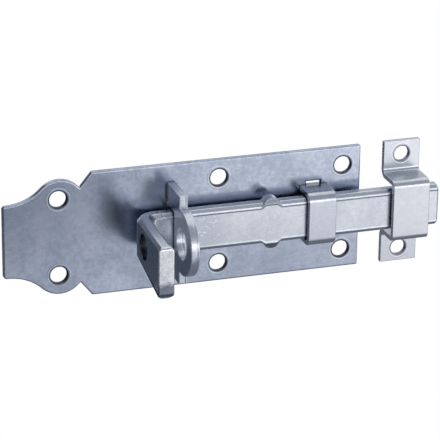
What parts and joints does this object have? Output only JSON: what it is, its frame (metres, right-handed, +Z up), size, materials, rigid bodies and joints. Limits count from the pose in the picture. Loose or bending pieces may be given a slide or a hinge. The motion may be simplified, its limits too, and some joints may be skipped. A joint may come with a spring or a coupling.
{
  "type": "padbolt",
  "caption": "Zinc-plated flat-bar padbolt: bar with bent handle slides through a guide strap and a padlock lug on a scalloped plate into a separate staple.",
  "frame": {"origin": "middle of the plate's back face, on the axis of the bolt", "axes": "+X along the throw of the bolt, +Y into the door, +Z up the door"},
  "size_m": [0.1694, 0.0396, 0.0494],
  "materials": {
    "plate_zinc": "bright zinc plate on sheet steel, cool blue-grey, satin",
    "strap_zinc": "bright zinc plate on strip steel, satin",
    "lug_zinc": "bright zinc plate on stamped steel, satin",
    "bar_zinc": "bright zinc plate on rolled flat bar, satin with small dents",
    "staple_zinc": "bright zinc plate on strip steel, satin"
  },
  "bodies": {
    "plate": {"back_plate": "plate_zinc", "guide_strap": "strap_zinc", "padlock_lug": "lug_zinc", "staple": "staple_zinc"},
    "bolt": {"bolt": "bar_zinc"}
  },
  "joints": [
    {"name": "bolt_slide", "type": "slide", "parent": "plate", "child": "bolt", "axis": [1, 0, 0], "range_m": [-0.0322, 0.0074]}
  ]
}
